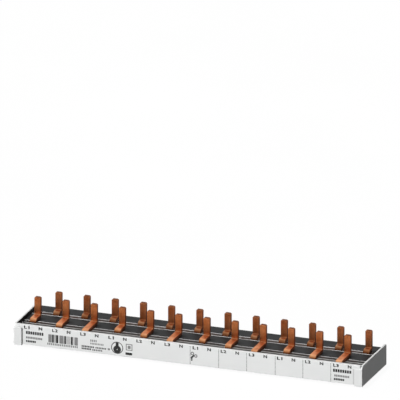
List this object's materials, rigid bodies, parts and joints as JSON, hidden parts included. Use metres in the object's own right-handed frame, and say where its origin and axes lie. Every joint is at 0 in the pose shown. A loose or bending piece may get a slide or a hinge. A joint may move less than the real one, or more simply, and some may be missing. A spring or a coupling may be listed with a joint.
{
  "type": "comb busbar",
  "caption": "Comb busbar for a row of modular breakers: copper phase and neutral combs with upright pins, in a light insulating housing with end caps.",
  "frame": {"origin": "centre of the length and depth, on the surface that the end caps stand on; the row of phase pins stands over it", "axes": "+X along the busbar, +Y from the printed front towards the neutral row, +Z the way the pins point"},
  "size_m": [0.2202, 0.0426, 0.024],
  "materials": {
    "light_plastic": "light grey moulded and extruded plastic, slight sheen",
    "dark_plastic": "near-black extruded plastic with faint lengthwise draw lines",
    "copper": "bare copper strip, cold drawn, slightly darkened"
  },
  "bodies": {
    "root": {"housing": "light_plastic", "end_cap_left": "light_plastic", "end_cap_right": "light_plastic", "middle_deck": "dark_plastic", "rear_deck": "dark_plastic", "phase_comb_l1": "copper", "phase_comb_l2": "copper", "phase_comb_l3": "copper", "neutral_comb": "copper"}
  },
  "joints": []
}
